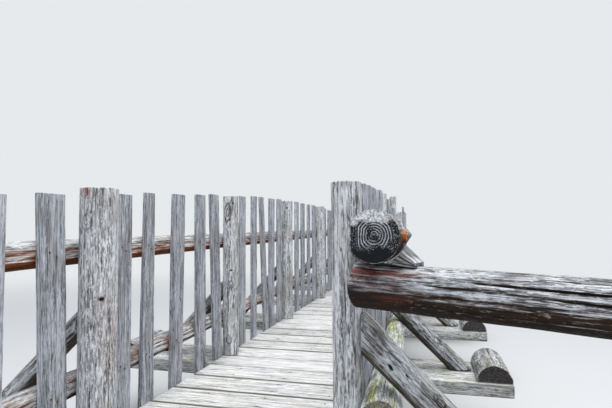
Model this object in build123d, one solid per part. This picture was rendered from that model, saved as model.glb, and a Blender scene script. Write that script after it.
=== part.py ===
from build123d import *
import os
from math import asin, atan, ceil, cos, degrees, radians, sin, sqrt, tan

os.makedirs("parts", exist_ok=True)

# A footbridge of logs and boards. Lengths are in millimetres.
# X runs across the bridge, Y along it from the near bank, Z up from the ground.
# The origin is the middle of the near sill's underside.

# Boards of the deck
board_pitch = 268
board_gap = 9
plank_thickness = 60
boards_per_bay = 6
boards_per_outrigger = 2
overhang_planks = 2
bay_count = 4

# Clear way between the picket rows, at the first posts and at the last ones
walkway_width = 1364
far_walkway_width = 1140

# Stringer logs and the sills under their ends
stringer_diameter = 300
stringer_depth = 260
stringer_places = (-380, 0, 380)
sill_diameter = 260
sill_depth = 180
sill_length = 2000
sill_inset = 180

# Outriggers: two heavy timbers side by side under each pair of posts
outrigger_lengths = (3320, 3070, 3090, 3060, 3080)
outrigger_thickness = 90

# Half-log blocks that stop the feet of the braces
block_diameter = 240
block_length = 480

# Posts: diameter and height above the deck, from the near end, and how far each pair
# stands from the middle of its outrigger
left_post_sizes = ((190, 1262), (140, 1320), (130, 1356), (137, 1353), (142, 1340))
right_post_sizes = ((142, 1260), (150, 1315), (142, 1385), (140, 1150), (145, 1300))
post_shifts = (-15, 35, 0, -10, 0)
post_flat_depth = 8
post_rim_wear = 7

# The split head of one post on the right
split_post = 3
split_tip_width = 34
split_drop = 150

# Braces from the posts down to the stop blocks: height of the axis at the post
brace_diameter = 120
left_brace_heights = (585, 538, 600, 600, 580)
right_brace_heights = (600, 514, 540, 570, 550)

# Pickets
picket_thickness = 30
picket_height = 1300
picket_tail = 70

# Rails: heights of the centre above the deck and diameters, at the near and the far end
left_top_rail_heights = (938, 950)
left_top_rail_diameters = (138, 112)
right_top_rail_heights = (1023, 890)
right_top_rail_diameters = (200, 110)
right_top_rail_reach = 290
far_rail_reach = 420
rail_flat_share = 0.05
rail_taper_step = 20
left_lower_rail_heights = ((258, 325), (325, 290))
left_lower_rail_diameters = ((138, 108), (118, 108))
left_lower_rail_joint_post = 3
right_lower_rail_height = 280
right_lower_rail_diameters = ((182, 134), (130, 110), (122, 110), (125, 108))
right_lower_rail_reach = 150
lower_rail_joint = 6

# A branch stub on the outer side of the right top rail
stub_diameter = 58
stub_place = 116
stub_length = 28

# Wing rail that flares out over the near bank on the right
wing_rail_diameter = 167
wing_rail_length = 2300
wing_rail_overlap = 32
wing_rail_flare = 19
wing_rail_fall = 62
wing_rail_setback = 132
wing_post_diameter = 165
wing_post_rise = 130
wing_post_inset = 170
wing_post_bearing = 22

# Wedge on the wing rail that keeps the top rail from rolling out
chock_length = 125
chock_width = 105
chock_height = 82
chock_toe = 14
chock_tuck = 30

fit_gap = 0.3

# Places worked out from the sizes above
bay = boards_per_bay * board_pitch
outrigger_width = boards_per_outrigger * board_pitch
overhang = outrigger_width / 2 + overhang_planks * board_pitch
deck_start = -sill_inset
deck_length = bay_count * bay + 2 * overhang
deck_end = deck_start + deck_length
post_places = [deck_start + overhang + bay * step for step in range(bay_count + 1)]
stringer_top = sill_depth + stringer_depth
deck_top = stringer_top + plank_thickness
picket_inner = walkway_width / 2
picket_outer = picket_inner + picket_thickness
side_turn = atan((walkway_width - far_walkway_width) / 2 / (bay_count * bay))
outrigger_underside = deck_top - outrigger_thickness
beyond = 2 * deck_length


def log_between(start, end, diameter):
    """A round log between two points."""
    run = Vector(*end) - Vector(*start)
    place = Plane(origin=start, z_dir=run)
    return place * Cylinder(diameter / 2, run.length, align=(Align.CENTER, Align.CENTER, Align.MIN))


def box_between(low, high):
    """A box given by its lowest and highest corners."""
    size = [top - bottom for bottom, top in zip(low, high)]
    middle = [(top + bottom) / 2 for bottom, top in zip(low, high)]
    return Pos(*middle) * Box(*size)


def turn_side(side, shape):
    """Turn a railing, made parallel to Y, so that the walkway narrows to its far width."""
    pivot = Axis((side * picket_inner, post_places[0], 0), (0, 0, 1))
    return shape.rotate(pivot, side * degrees(side_turn))


def side_edge(distance, place):
    """Distance from the middle of the bridge of a turned face, at a place along Y."""
    return distance - tan(side_turn) * (place - post_places[0])


def outside_of_railing(side, floor):
    """All the space outside a railing's outer face and above the floor."""
    low = (min(side * picket_outer, side * beyond), -beyond, floor)
    high = (max(side * picket_outer, side * beyond), beyond, beyond)
    return turn_side(side, box_between(low, high))


def save(name, shape):
    export_step(shape, "parts/" + name + ".step")


def hewn_log(start, end, diameter, depth):
    """A level log with its top and underside hewn flat."""
    middle = (start[2] + end[2]) / 2
    band = box_between((-beyond, -beyond, middle - depth / 2), (beyond, beyond, middle + depth / 2))
    return log_between(start, end, diameter) & band


def make_sills():
    middle = sill_depth / 2
    for name, place in (("near_sill", 0), ("far_sill", deck_length - 2 * sill_inset)):
        start = (-sill_length / 2, place, middle)
        end = (sill_length / 2, place, middle)
        save(name, hewn_log(start, end, sill_diameter, sill_depth))


def make_stringers():
    middle = sill_depth + stringer_depth / 2
    for name, place in zip(("left_stringer", "middle_stringer", "right_stringer"), stringer_places):
        log = hewn_log((place, deck_start, middle), (place, deck_end, middle), stringer_diameter, stringer_depth)
        for post_y in post_places:
            half = outrigger_width / 2
            log -= box_between(
                (place - stringer_diameter, post_y - half, outrigger_underside),
                (place + stringer_diameter, post_y + half, deck_top),
            )
        save(name, log)


def make_deck():
    starts = [deck_start] + [post_y + outrigger_width / 2 for post_y in post_places]
    counts = [overhang_planks] + [boards_per_bay - boards_per_outrigger] * bay_count + [overhang_planks]
    for number, (start, count) in enumerate(zip(starts, counts), 1):
        planks = []
        for step in range(count):
            low = start + step * board_pitch + board_gap / 2
            high = low + board_pitch - board_gap
            outline = Polyline(
                (-side_edge(picket_inner, low), low),
                (side_edge(picket_inner, low), low),
                (side_edge(picket_inner, high), high),
                (-side_edge(picket_inner, high), high),
                close=True,
            )
            planks.append(Pos(0, 0, stringer_top) * extrude(make_face(outline), amount=plank_thickness))
        save("deck_planks_%d" % number, Compound(children=planks))


def make_outriggers():
    for number, (post_y, length) in enumerate(zip(post_places, outrigger_lengths), 1):
        timbers = []
        for step in range(boards_per_outrigger):
            low = post_y - outrigger_width / 2 + step * board_pitch + board_gap / 2
            timbers.append(box_between(
                (-length / 2, low, outrigger_underside),
                (length / 2, low + board_pitch - board_gap, deck_top),
            ))
        save("outrigger_%d" % number, Compound(children=timbers))


def block_middle(length):
    """How far the axis of a stop block lies from the middle of the bridge."""
    return length / 2 - block_diameter / 2


def make_stop_blocks():
    for number, (post_y, length) in enumerate(zip(post_places, outrigger_lengths), 1):
        blocks = []
        for side in (-1, 1):
            axis = side * block_middle(length)
            near = (axis, post_y - block_length / 2, deck_top)
            far = (axis, post_y + block_length / 2, deck_top)
            upper = box_between(
                (axis - block_diameter, post_y - block_length, deck_top),
                (axis + block_diameter, post_y + block_length, deck_top + block_diameter),
            )
            blocks.append(log_between(near, far, block_diameter) & upper)
        save("stop_blocks_%d" % number, Compound(children=blocks))


def flat_sided_round(diameter, flat_depth):
    """The round section of a log with a flat hewn on it, as edges in its own plane.

    The flat lies on the vertical axis and the log to the right of it.
    """
    radius = diameter / 2
    half_flat = sqrt(radius ** 2 - (radius - flat_depth) ** 2)
    top = (0, half_flat)
    bottom = (0, -half_flat)
    crown = (diameter - flat_depth, 0)
    return make_face([Line(bottom, top), ThreePointArc(top, crown, bottom)])


def post_log(side, diameter, height, place):
    """A post with its outer side hewn flat in the plane of the pickets' outer faces."""
    section = flat_sided_round(diameter, post_flat_depth)
    turned = Plane(origin=(side * picket_outer, place, deck_top), x_dir=(-side, 0, 0), z_dir=(0, 0, 1))
    log = extrude(turned * section, amount=height)
    rim = log.edges().group_by(Axis.Z)[-1]
    return chamfer(rim, post_rim_wear)


def split_head(side, diameter, height, place):
    """The wood that is missing from a split post, on the walkway's side of its tip."""
    tip = picket_outer - split_tip_width
    inner = picket_outer - diameter
    top = deck_top + height
    outline = Polyline(
        (side * tip, top + split_drop / 4),
        (side * inner, top - split_drop),
        (side * (inner - diameter), top - split_drop),
        (side * (inner - diameter), top + split_drop / 4),
        close=True,
    )
    face = Plane(origin=(0, place, 0), x_dir=(1, 0, 0), z_dir=(0, -1, 0)) * make_face(outline)
    return extrude(face, amount=diameter, both=True)


def make_posts():
    for side, word, sizes in ((-1, "left", left_post_sizes), (1, "right", right_post_sizes)):
        for number, (diameter, height) in enumerate(sizes, 1):
            place = post_places[number - 1] + post_shifts[number - 1]
            log = post_log(side, diameter, height, place)
            if (side, number) == (1, split_post):
                log -= split_head(side, diameter, height, place)
            save("%s_post_%d" % (word, number), turn_side(side, log))


def make_braces():
    for side, word, heights in ((-1, "left", left_brace_heights), (1, "right", right_brace_heights)):
        room = outside_of_railing(side, deck_top)
        for number, height in enumerate(heights, 1):
            place = post_places[number - 1] + post_shifts[number - 1]
            head = side_edge(picket_outer, place)
            stop = block_middle(outrigger_lengths[number - 1]) - block_diameter / 2 - fit_gap
            # The foot's outer tip meets the block, so the axis lands short of it.
            slope = radians(45)
            for step in range(8):
                foot = stop - brace_diameter / 2 / sin(slope)
                slope = asin(height / sqrt(height ** 2 + (foot - head) ** 2))
            along = Vector(-side * cos(slope), 0, sin(slope)) * brace_diameter
            start = Vector(side * foot, place, deck_top) - along
            end = Vector(side * head, place, deck_top + height) + along
            save("%s_brace_%d" % (word, number), log_between(tuple(start), tuple(end), brace_diameter) & room)


# Pickets of each bay: place after the post as a share of the bay, width at the foot and at
# the top, lean of the top along Y, and what the picket adds to the usual height
left_picket_rows = (
    ((-0.356, 143, 143, 0, -96), (-0.134, 154, 157, -43, -78), (0.167, 145, 145, 0, -48),
     (0.316, 132, 90, 17, -24), (0.525, 138, 147, 29, -12), (0.746, 134, 132, -16, 5),
     (0.925, 132, 134, -78, 21)),
    ((0.229, 137, 137, 0, 40), (0.411, 108, 108, 8, 58), (0.630, 110, 92, -148, 62),
     (0.727, 128, 138, 14, 61), (0.893, 123, 120, 0, 68)),
    ((0.327, 130, 130, 0, 72), (0.499, 133, 133, 0, 64), (0.683, 110, 100, 8, 63), (0.868, 146, 146, 0, 61)),
    ((0.290, 130, 130, 0, 40), (0.488, 135, 130, -6, 25), (0.608, 128, 132, 10, 20), (0.850, 130, 130, 0, 20),
     (1.223, 130, 126, 0, 12), (1.416, 140, 140, 8, 10)),
)
right_picket_rows = (
    ((0.148, 125, 125, 0, -31), (0.284, 140, 138, 0, -21), (0.432, 138, 138, 0, -15), (0.733, 140, 136, 0, 7)),
    ((0.195, 130, 130, 0, -15), (0.402, 136, 130, 8, -56), (0.642, 130, 130, -10, -60), (0.860, 128, 128, 0, -65)),
    ((0.224, 130, 130, 0, -110), (0.442, 140, 136, 10, -140), (0.678, 135, 135, 0, -175),
     (0.866, 120, 120, -6, -170)),
    ((0.207, 130, 130, 0, -170), (0.406, 140, 132, -8, -160), (0.617, 145, 145, 0, 68), (0.835, 130, 130, 0, 0),
     (1.226, 140, 136, 0, -10), (1.419, 140, 140, 6, 0)),
)


def picket(side, middle, foot_width, top_width, lean, height):
    """One board, nailed to the rails, that stands on an outrigger or hangs past the deck's edge."""
    over_outrigger = any(abs(middle - post_y) < (outrigger_width + foot_width) / 2 for post_y in post_places)
    foot = deck_top if over_outrigger else deck_top - picket_tail
    outline = Polyline(
        (middle - foot_width / 2, foot),
        (middle + foot_width / 2, foot),
        (middle + lean + top_width / 2, deck_top + height),
        (middle + lean - top_width / 2, deck_top + height),
        close=True,
    )
    face = Plane(origin=(side * picket_inner, 0, 0), x_dir=(0, 1, 0), z_dir=(1, 0, 0)) * make_face(outline)
    return turn_side(side, extrude(face, amount=side * picket_thickness))


def make_pickets():
    for side, word, rows in ((-1, "left", left_picket_rows), (1, "right", right_picket_rows)):
        for number, row in enumerate(rows, 1):
            boards = []
            for share, foot_width, top_width, lean, extra in row:
                middle = post_places[number - 1] + share * bay
                boards.append(picket(side, middle, foot_width, top_width, lean, picket_height + extra))
            save("%s_pickets_%d" % (word, number), Compound(children=boards))


def side_rail(side, ends, heights, diameters):
    """A tapering log outside the pickets, with a flat hewn along it where it bears on them.

    The flat takes the same share of every section, so the log's round side is part of a cone.
    """
    lengths = max(1, ceil(abs(diameters[0] - diameters[1]) / rail_taper_step))
    sections = []
    for step in range(lengths + 1):
        place, height, diameter = (
            near + (far - near) * step / lengths for near, far in (ends, heights, diameters)
        )
        origin = (side * picket_outer, place, deck_top + height)
        plane = Plane(origin=origin, x_dir=(side, 0, 0), z_dir=(0, -side, 0))
        sections.append(plane * flat_sided_round(diameter, diameter * rail_flat_share))
    return turn_side(side, loft(sections, ruled=True))


def right_top_rail_log():
    ends = (post_places[0] - right_top_rail_reach, post_places[-1] + far_rail_reach)
    return side_rail(1, ends, right_top_rail_heights, right_top_rail_diameters)


def branch_stub():
    """The sawn stub of a branch, which leaves the rail at right angles."""
    middle = (
        side_edge(picket_outer, post_places[0] - right_top_rail_reach) + right_top_rail_diameters[0] / 2,
        post_places[0] - right_top_rail_reach + stub_place,
        deck_top + right_top_rail_heights[0],
    )
    end = (middle[0] + right_top_rail_diameters[0] * (0.5 - rail_flat_share) + stub_length, middle[1], middle[2])
    return log_between(middle, end, stub_diameter)


def make_rails():
    whole = (deck_start, deck_end)
    save("left_top_rail", side_rail(-1, whole, left_top_rail_heights, left_top_rail_diameters))
    top_rail = right_top_rail_log()
    save("right_top_rail", Compound(children=[top_rail, branch_stub() - top_rail]))

    joint = post_places[left_lower_rail_joint_post - 1]
    runs = ((deck_start, joint - lower_rail_joint / 2), (joint + lower_rail_joint / 2, deck_end))
    logs = [side_rail(-1, *log) for log in zip(runs, left_lower_rail_heights, left_lower_rail_diameters)]
    save("left_lower_rail", Compound(children=logs))

    logs = []
    for number, diameters in enumerate(right_lower_rail_diameters):
        start = post_places[number] + lower_rail_joint / 2
        end = post_places[number + 1] - lower_rail_joint / 2
        if number == 0:
            start = post_places[0] - right_lower_rail_reach
        if number == bay_count - 1:
            end = post_places[-1] + far_rail_reach
        logs.append(side_rail(1, (start, end), (right_lower_rail_height, right_lower_rail_height), diameters))
    save("right_lower_rail", Compound(children=logs))


def top_rail_underside(place):
    """Height of the right top rail's underside at a place along it."""
    near, far = (
        deck_top + height - diameter / 2
        for height, diameter in zip(right_top_rail_heights, right_top_rail_diameters)
    )
    start = post_places[0] - right_top_rail_reach
    length = post_places[-1] + far_rail_reach - start
    return near + (far - near) * (place - start) / length


def wing_point(distance):
    """A point on the wing rail's axis, measured from the railing's outer face."""
    turn = radians(wing_rail_flare)
    across = picket_outer + distance * cos(turn)
    along = post_places[0] - wing_rail_setback - distance * sin(turn)
    crossing = right_top_rail_diameters[0] * (0.5 - rail_flat_share) / cos(turn)
    seat = top_rail_underside(post_places[0] - wing_rail_setback - crossing * sin(turn))
    fall = wing_rail_fall * (distance - crossing) / wing_rail_length
    return (across, along, seat - wing_rail_diameter / 2 - fit_gap - fall)


def make_wing():
    rail = log_between(wing_point(-wing_rail_overlap), wing_point(wing_rail_length), wing_rail_diameter)
    place = post_places[0] + post_shifts[0]
    diameter, height = right_post_sizes[0]
    scribed = rail - turn_side(1, post_log(1, diameter, height, place))
    save("wing_rail", scribed)

    turn = radians(wing_rail_flare)
    behind = (wing_rail_diameter + wing_post_diameter) / 2 - wing_post_bearing
    seat = wing_point(wing_rail_length - wing_post_inset)
    foot = (seat[0] + behind * sin(turn), seat[1] + behind * cos(turn))
    top = seat[2] + wing_rail_diameter / 2 + wing_post_rise
    save("wing_post", log_between((*foot, 0), (*foot, top), wing_post_diameter) - rail)

    # The wedge lies on the wing rail with its tall face against the top rail.
    outline = Polyline((0, 0), (chock_length, 0), (chock_length, chock_toe), (0, chock_height), close=True)
    bed = wing_point(right_top_rail_diameters[0] * (1 - rail_flat_share) / cos(turn) - chock_tuck)
    origin = (bed[0], bed[1], bed[2] + wing_rail_diameter / 2 - chock_toe)
    plane = Plane(origin=origin, x_dir=(cos(turn), -sin(turn), 0), z_dir=(-sin(turn), -cos(turn), 0))
    wedge = extrude(plane * make_face(outline), amount=chock_width / 2, both=True)
    save("rail_chock", wedge - rail - right_top_rail_log())


make_sills()
make_stringers()
make_deck()
make_outriggers()
make_stop_blocks()
make_posts()
make_braces()
make_pickets()
make_rails()
make_wing()
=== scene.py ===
from math import cos, pi, radians, sin

import bpy
import numpy as np
from mathutils import Matrix, Vector


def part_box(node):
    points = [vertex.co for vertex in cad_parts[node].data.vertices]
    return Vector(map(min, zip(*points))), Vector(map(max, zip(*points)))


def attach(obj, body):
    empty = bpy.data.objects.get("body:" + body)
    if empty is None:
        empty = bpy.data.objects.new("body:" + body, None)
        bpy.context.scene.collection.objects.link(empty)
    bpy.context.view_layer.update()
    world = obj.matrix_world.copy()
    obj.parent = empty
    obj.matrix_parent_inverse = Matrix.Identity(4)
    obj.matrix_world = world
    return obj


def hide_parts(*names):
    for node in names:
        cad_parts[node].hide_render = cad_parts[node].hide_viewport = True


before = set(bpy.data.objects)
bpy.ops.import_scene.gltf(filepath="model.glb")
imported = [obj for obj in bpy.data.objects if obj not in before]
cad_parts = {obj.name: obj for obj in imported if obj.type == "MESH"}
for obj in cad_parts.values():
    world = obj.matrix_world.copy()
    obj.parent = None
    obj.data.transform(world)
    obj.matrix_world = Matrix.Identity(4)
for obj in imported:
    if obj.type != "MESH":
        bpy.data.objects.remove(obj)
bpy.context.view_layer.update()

# Looks of a footbridge of weathered logs and boards. Lengths are in metres, in the frame's
# axes: X across the bridge, Y along it from the near bank, Z up. Every piece is shaped on
# the solid that it replaces, whose places and sizes are read from the frame.

# Camera
camera_place = Vector((0.998, -1.469, 1.567))
camera_turn_left = radians(14.46)
camera_tilt_up = radians(2.62)
camera_roll = radians(-0.27)
camera_lens = 27.9
camera_sensor = 36

# The room: the floor fades into the backdrop between two distances from the origin
backdrop_colour = (0.80, 0.82, 0.84, 1)
floor_colour = (0.60, 0.61, 0.62, 1)
floor_size = 400
floor_fade_start = 5
floor_fade_end = 16
sky_colour = (0.80, 0.88, 1.0, 1)
sky_strength = 0.42
lamp_place = Vector((1.5, 1.5, 9.0))
lamp_target = Vector((0, 3, 0.5))
lamp_width = 14
lamp_length = 16
lamp_power = 1700
lamp_colour = (1.0, 0.99, 0.97)

# How much the weather has worn off, always inward from the solid
board_edge = 0.005
board_ridge = 0.0010
board_wave = 0.0025
board_dents = 0.0012
furrow_depth = 0.005
log_lumps = 0.0035
log_ridge = 0.0012
log_rim = 0.007
hewn_wear = 0.0018
end_wear = 0.0016
knot_hole_depth = 0.012
knot_ring_depth = 0.002
crack_taper = 0.06

# Nails and the rust that runs down from them
nail_radius = 0.006
nail_rise = 0.002
nail_seat = 0.0008
rust_width = 0.006
rust_length = 0.07

# Where the photograph shows more or less wood than the plain solids
wing_fuller = 0.013
wing_lower = 0.014
wing_shorter = 0.035
wing_start_shorter = 0.03
disc_shift = 0.013
disc_fuller = 0.006
disc_retreat = 0.012
disc_reach = 0.25
brace_fuller = 0.007
chock_shorter = 0.030
chock_higher = 0.030
stub_shorter = 0.021
stub_root = 0.09

# Half the width of the outriggers that feet have kept clean
trodden_half_width = 0.62


def mark(angle, place, size, **looks):
    """A knot, scar, chip or stain on a log, with its looks by name."""
    return dict(looks, angle=angle, place=place, size=size)


def crack(angle, start, end, width, depth):
    """A drying crack along a log, from one share of its length to another."""
    return {"angle": angle, "start": start, "end": end, "width": width, "depth": depth}


# Knots, scars and chips of single posts: angle from the bridge's left round towards the near
# bank, height above the ground and size
post_marks = {
    "left_post_1": (
        mark(1.33, 1.745, 0.030, rise=-0.006, patch=1.0, long=0.8),
        mark(1.54, 1.590, 0.034, rise=0.008, ring=0.8),
        mark(2.10, 1.235, 0.050, rise=0.012, long=0.7),
        mark(2.32, 1.213, 0.044, hole=1.0, long=1.6),
        mark(2.42, 1.200, 0.022, patch=0.7, long=1.4),
        mark(1.75, 1.640, 0.014, hole=0.8, long=1.5),
        mark(2.82, 1.030, 0.050, patch=0.35, long=0.25),
        mark(2.35, 1.070, 0.040, patch=0.2, long=0.2),
    ),
    "left_post_2": (
        mark(1.38, 1.680, 0.040, rise=-0.005, ring=1.0, long=0.4),
        mark(2.13, 1.755, 0.020, hole=1.0),
        mark(1.95, 1.200, 0.034, rise=0.004, hole=1.0, long=2.4),
        mark(1.95, 1.085, 0.030, rise=0.005, ring=1.0),
        mark(1.68, 0.640, 0.032, rise=0.005, ring=1.0),
        mark(2.20, 0.900, 0.012, dark=0.7),
    ),
    "left_post_3": (
        mark(1.82, 1.775, 0.026, hole=1.0),
    ),
}

# The same for the two nearest right braces: angle from the far side down round the underside,
# and share of the length from the foot
brace_marks = {
    "right_brace_1": (
        mark(3.04, 0.80, 0.024, hole=1.0),
        mark(3.46, 0.71, 0.013, hole=0.9),
        mark(3.84, 0.53, 0.026, rise=0.005, ring=1.0),
        mark(3.76, 0.90, 0.026, rise=0.006, dark=0.6),
        mark(4.20, 0.97, 0.075, rise=0.020, long=0.6),
        mark(4.30, 0.72, 0.060, rise=0.008, long=0.6),
        mark(2.90, 0.60, 0.020, rise=0.004, dark=0.4),
    ),
    "right_brace_2": (
        mark(3.30, 0.66, 0.016, rise=0.004, hole=0.7),
        mark(3.70, 0.35, 0.018, rise=0.003, ring=0.9),
    ),
}

# Cracks and torn wood on the wing rail: angle from its near face down round its underside, and
# shares of its length from the end at the post
wing_cracks = (
    crack(-1.20, -0.08, 0.17, 0.005, 0.012),
    crack(-0.62, 0.19, 1.08, 0.005, 0.014),
    crack(-0.25, 0.30, 0.80, 0.006, 0.012),
    crack(-0.86, -0.08, 0.12, 0.004, 0.010),
    crack(-0.32, 0.12, 0.24, 0.004, 0.009),
)
wing_marks = (
    mark(-0.62, 0.030, 0.032, rise=-0.006, patch=1.0, long=0.24),
    mark(-0.74, 0.085, 0.018, rise=-0.004, patch=1.0, long=0.16),
    mark(0.28, 0.070, 0.055, patch=0.4, long=0.45),
    # Two darkened patches low on the near side by the post: partly the wood's own dark, partly painted shade.
    mark(0.42, 0.03, 0.070, soot=0.75, long=0.32),
    mark(0.55, 0.14, 0.045, soot=0.6, long=0.3),
    mark(0.20, 0.21, 0.020, rise=0.004, ring=0.6),
)


def cell_values(cells, seed):
    """A repeatable number from -1 to 1 for each whole-numbered cell."""
    mixed = cells[..., 0] * np.uint32(374761393) + cells[..., 1] * np.uint32(668265263)
    mixed = mixed + cells[..., 2] * np.uint32(2246822519) + np.uint32(seed * 97 + 11)
    mixed = (mixed ^ (mixed >> np.uint32(15))) * np.uint32(2246822519)
    mixed = (mixed ^ (mixed >> np.uint32(13))) * np.uint32(3266489917)
    mixed = mixed ^ (mixed >> np.uint32(16))
    return mixed / 2.0 ** 31 - 1


def noise(points, seed, octaves=2):
    """Smooth noise at points in space, about -1 to 1, with lumps one unit wide."""
    total = 0
    for octave in range(octaves):
        scaled = points * 2.0 ** octave
        base = np.floor(scaled)
        part = scaled - base
        part = part * part * (3 - 2 * part)
        base = base.astype(np.int64)
        for corner in np.ndindex(2, 2, 2):
            weight = np.where(corner, part, 1 - part).prod(axis=-1)
            cells = (base + corner).astype(np.uint32)
            total = total + weight * cell_values(cells, seed + octave) / 2 ** octave
    return total


def stacked(*parts):
    """Arrays put together as the coordinates of points."""
    return np.stack(np.broadcast_arrays(*parts), axis=-1)


def smooth_step(low, high, value):
    """Goes smoothly from 0 at low to 1 at high."""
    share = np.clip((value - low) / (high - low), 0, 1)
    return share * share * (3 - 2 * share)


# Reading the frame

def solids_of(node):
    """The points of each separate solid in a CAD node."""
    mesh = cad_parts[node].data
    points = np.array([vertex.co for vertex in mesh.vertices], float)
    places, merged = np.unique(np.round(points, 5), axis=0, return_inverse=True)
    edges = merged.ravel()[np.array([edge.vertices[:] for edge in mesh.edges])]
    label = np.arange(len(places))
    while True:
        lowest = label.copy()
        np.minimum.at(lowest, edges[:, 0], label[edges[:, 1]])
        np.minimum.at(lowest, edges[:, 1], label[edges[:, 0]])
        lowest = lowest[lowest]
        if (lowest == label).all():
            break
        label = lowest
    return [places[label == number] for number in np.unique(label)]


def fitted_circle(places):
    """Centre and radius of the circle through points of a plane."""
    rows = np.column_stack((places, np.ones(len(places))))
    fit = np.linalg.lstsq(rows, (places ** 2).sum(axis=1), rcond=None)[0]
    centre = fit[:2] / 2
    return centre, np.sqrt(fit[2] + centre @ centre)


def across(axis):
    """Two directions at right angles to an axis and to each other."""
    helper = (0, 0, 1) if abs(axis[2]) < 0.9 else (0, 1, 0)
    first = np.cross(axis, helper)
    first = first / np.linalg.norm(first)
    return first, np.cross(axis, first)


def turned(angle, axis):
    """The direction at an angle round an axis."""
    first, second = across(axis)
    return cos(angle) * first + sin(angle) * second


def long_axis(points):
    """The direction in which a solid is longest."""
    return np.linalg.svd(points - points.mean(axis=0), full_matrices=False)[2][0]


def facing_along(ring, axis):
    """The direction square to a flat ring of points, on the side that an axis points to."""
    normal = np.linalg.svd(ring - ring.mean(axis=0))[2][-1]
    return normal * np.sign(normal @ axis)


class Log:
    """A straight, tapering log: its axis, radii, hewn flats and the planes of its ends."""

    def __init__(self, start, end, radii, flats=(), normals=None):
        self.start = np.array(start, float)
        self.end = np.array(end, float)
        self.radii = radii
        self.flats = flats
        self.length = np.linalg.norm(self.end - self.start)
        self.axis = (self.end - self.start) / self.length
        self.normals = normals or (-self.axis, self.axis)

    def height_at(self, place):
        """Height of the axis at a place along Y."""
        share = (place - self.start[1]) / (self.end[1] - self.start[1])
        return self.start[2] + share * (self.end[2] - self.start[2])


def read_ring(ring, axis):
    """The middle, radius, hewn flats (angle and distance) and facing of a log's end."""
    first, second = across(axis)
    places = np.column_stack((ring @ first, ring @ second))
    centre, radius = fitted_circle(places)
    normal = facing_along(ring, axis)
    foot = first * centre[0] + second * centre[1]
    slide = (ring.mean(axis=0) - foot) @ normal / (axis @ normal)
    angles = np.sort(np.arctan2(*(places - centre).T[::-1]))
    gaps = np.diff(np.append(angles, angles[0] + 2 * pi))
    widest = gaps.argmax()
    flats = []
    if gaps[widest] > 0.6:
        flats = [(angles[widest] + gaps[widest] / 2, radius * cos(gaps[widest] / 2))]
    return foot + axis * slide, radius, flats, normal


def read_log(points, axis, reach=None):
    """The log whose ends are the rings of points that lie furthest along an axis."""
    axis = np.array(axis, float) / np.linalg.norm(axis)
    for attempt in range(3):
        along = points @ axis
        span = reach or np.ptp(along) / 2
        near, far = (
            read_ring(points[np.abs(along - extreme) < span], axis) for extreme in (along.min(), along.max())
        )
        if reach:
            break
        axis = (far[0] - near[0]) / np.linalg.norm(far[0] - near[0])
    flats = [
        (turned(angle, axis), low, high) for (angle, low), (_, high) in zip(near[2], far[2])
    ]
    return Log(near[0], far[0], (near[1], far[1]), flats, (-near[3], far[3]))


def square_log(points, axis):
    """A log of one thickness, read from the square cut at its far end along an axis."""
    along = points @ axis
    ring = points[along > along.max() - 0.004]
    axis = facing_along(ring, axis)
    end, radius = read_ring(ring, axis)[:2]
    return Log(end - axis * np.ptp(points @ axis), end, (radius, radius))


def upright_log(node):
    """The log of a post, whose foot is a full ring and whose head is level."""
    points = solids_of(node)[0]
    low, high = points[:, 2].min(), points[:, 2].max()
    up = np.array((0, 0, 1.0))
    foot, radius, flats = read_ring(points[points[:, 2] < low + 0.001], up)[:3]
    flats = [(turned(angle, up), distance, distance) for angle, distance in flats]
    return Log((foot[0], foot[1], low), (foot[0], foot[1], high), (radius, radius), flats)


def level_log(node, axis_number):
    """A level log with a flat top and underside, from the box of its solid."""
    low, high = (np.array(corner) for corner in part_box(node))
    start, end = (low + high) / 2, (low + high) / 2
    start[axis_number], end[axis_number] = low[axis_number], high[axis_number]
    half_width = (high - low)[1 - axis_number] / 2
    half_depth = (high - low)[2] / 2
    up = np.array((0, 0, 1.0))
    flats = [(up, half_depth, half_depth), (-up, half_depth, half_depth)]
    return Log(start, end, (half_width, half_width), flats)


def clear_of(points, log, gap=0.0008):
    """Points pushed straight out of a log where they lie inside it."""
    relative = points - log.start
    along = relative @ log.axis
    outward = relative - along[..., None] * log.axis
    distance = np.linalg.norm(outward, axis=-1)
    share = np.clip(along / log.length, 0, 1)
    size = log.radii[0] + (log.radii[1] - log.radii[0]) * share + gap
    inside = (distance < size) & (along > 0) & (along < log.length)
    stretch = np.where(inside, size / np.maximum(distance, 1e-6), 1)
    return log.start + along[..., None] * log.axis + outward * stretch[..., None]


def board_corners(points, along, through, wide):
    """A board's eight corners, by width, thickness and length, sorted along three axes."""
    corners = np.zeros((2, 2, 2, 3))
    ends = points[points[:, along].argsort()]
    for length_number, end in enumerate((ends[:4], ends[4:])):
        faces = end[end[:, through].argsort()]
        for face_number, face in enumerate((faces[:2], faces[2:])):
            corners[:, face_number, length_number] = face[face[:, wide].argsort()]
    return corners


# Building meshes

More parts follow.
